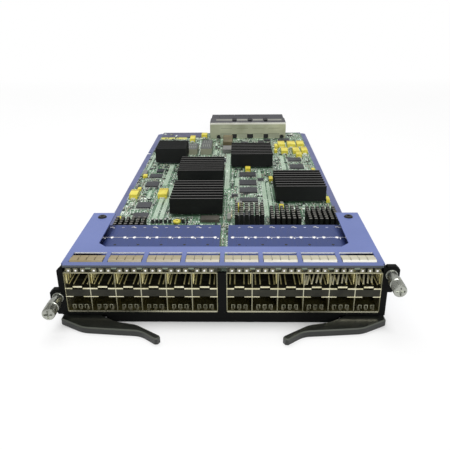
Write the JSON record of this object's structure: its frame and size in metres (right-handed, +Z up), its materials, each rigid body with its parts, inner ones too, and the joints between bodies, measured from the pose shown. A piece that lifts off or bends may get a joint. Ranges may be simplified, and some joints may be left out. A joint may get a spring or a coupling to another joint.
{
  "type": "switch line card",
  "caption": "Plug-in line card: sheet tray with a circuit board, stacked pluggable-port cages behind a black faceplate, blue front cover, ejector levers and captive screws.",
  "frame": {"origin": "midway between the two port cages, in the plane of the port face, level with the underside of the tray", "axes": "+X to the right as seen from the front, +Y from the port face to the back of the card, +Z up from the tray"},
  "size_m": [0.194, 0.4686, 0.0371],
  "materials": {
    "plated_steel": "zinc-plated sheet",
    "nickel_plate": "nickel-plated sheet",
    "spring_bronze": "tin-plated spring bronze",
    "black_moulding": "moulded, fine satin",
    "circuit_board": "green solder mask",
    "blue_coating": "blue passivated sheet, satin",
    "black_coating": "black powder coat on a casting",
    "turned_steel": "nickel-plated turned steel",
    "spring_steel": "spring wire",
    "black_screw": "black oxide",
    "black_anodised": "black anodised",
    "yellow_resin": "moulded",
    "grey_ceramic": "matt",
    "black_resin": "moulded",
    "brown_ferrite": "ground ferrite",
    "dark_moulding": "moulded"
  },
  "bodies": {
    "card": {"backplane_modules": "dark_moulding", "backplane_shell": "nickel_plate", "board_screws": "turned_steel", "board_standoffs": "turned_steel", "chip_capacitors": "grey_ceramic", "cover_posts": "turned_steel", "cover_screws": "black_screw", "faceplate": "black_coating", "faceplate_screws": "black_screw", "front_cover": "blue_coating", "grounding_strips": "spring_bronze", "heat_sink_front_left": "black_anodised", "heat_sink_front_right": "black_anodised", "heat_sink_power": "black_anodised", "heat_sink_rear_left": "black_anodised", "heat_sink_rear_right": "black_anodised", "indicator_driver": "brown_ferrite", "left_cage_dividers": "nickel_plate", "left_cage_fingers": "spring_bronze", "left_cage_floor": "nickel_plate", "left_floor_fingers": "spring_bronze", "left_port_cage": "nickel_plate", "left_port_connectors": "black_moulding", "left_port_separators": "nickel_plate", "left_return_spring": "spring_steel", "lever_pins": "turned_steel", "main_board": "circuit_board", "memory_chips": "black_resin", "pin_heat_sinks": "black_anodised", "power_controller": "grey_ceramic", "power_inductor": "brown_ferrite", "power_modules": "grey_ceramic", "processor_chips": "black_resin", "right_cage_dividers": "nickel_plate", "right_cage_fingers": "spring_bronze", "right_cage_floor": "nickel_plate", "right_floor_fingers": "spring_bronze", "right_port_cage": "nickel_plate", "right_port_connectors": "black_moulding", "right_port_separators": "nickel_plate", "right_return_spring": "spring_steel", "screw_ferrules": "turned_steel", "tantalum_capacitors": "yellow_resin", "transceiver_chips": "black_resin", "tray": "plated_steel"},
    "left_lever_body": {"left_lever": "black_moulding"},
    "left_washer_body": {"left_thrust_washer": "turned_steel"},
    "left_screw_body": {"left_captive_screw": "turned_steel"},
    "right_lever_body": {"right_lever": "black_moulding"},
    "right_washer_body": {"right_thrust_washer": "turned_steel"},
    "right_screw_body": {"right_captive_screw": "turned_steel"}
  },
  "joints": [
    {"name": "left_lever_swing", "type": "hinge", "parent": "card", "child": "left_lever_body", "pos_m": [-0.086, 0.0035, 0.0023], "axis": [0, 0, -1], "range_deg": [0, 70]},
    {"name": "left_screw_push", "type": "slide", "parent": "card", "child": "left_washer_body", "axis": [0, 1, 0], "range_m": [0, 0.005], "stiffness_N_per_m": 600, "springref_m": -0.003, "deforming": ["left_return_spring"]},
    {"name": "left_screw_turn", "type": "hinge", "parent": "left_washer_body", "child": "left_screw_body", "pos_m": [-0.0925, -0.012, 0.016], "axis": [0, 1, 0], "continuous": true},
    {"name": "right_lever_swing", "type": "hinge", "parent": "card", "child": "right_lever_body", "pos_m": [0.086, 0.0035, 0.0023], "axis": [0, 0, 1], "range_deg": [0, 70]},
    {"name": "right_screw_push", "type": "slide", "parent": "card", "child": "right_washer_body", "axis": [0, 1, 0], "range_m": [0, 0.005], "stiffness_N_per_m": 600, "springref_m": -0.003, "deforming": ["right_return_spring"]},
    {"name": "right_screw_turn", "type": "hinge", "parent": "right_washer_body", "child": "right_screw_body", "pos_m": [0.0925, -0.012, 0.0307], "axis": [0, 1, 0], "continuous": true}
  ]
}
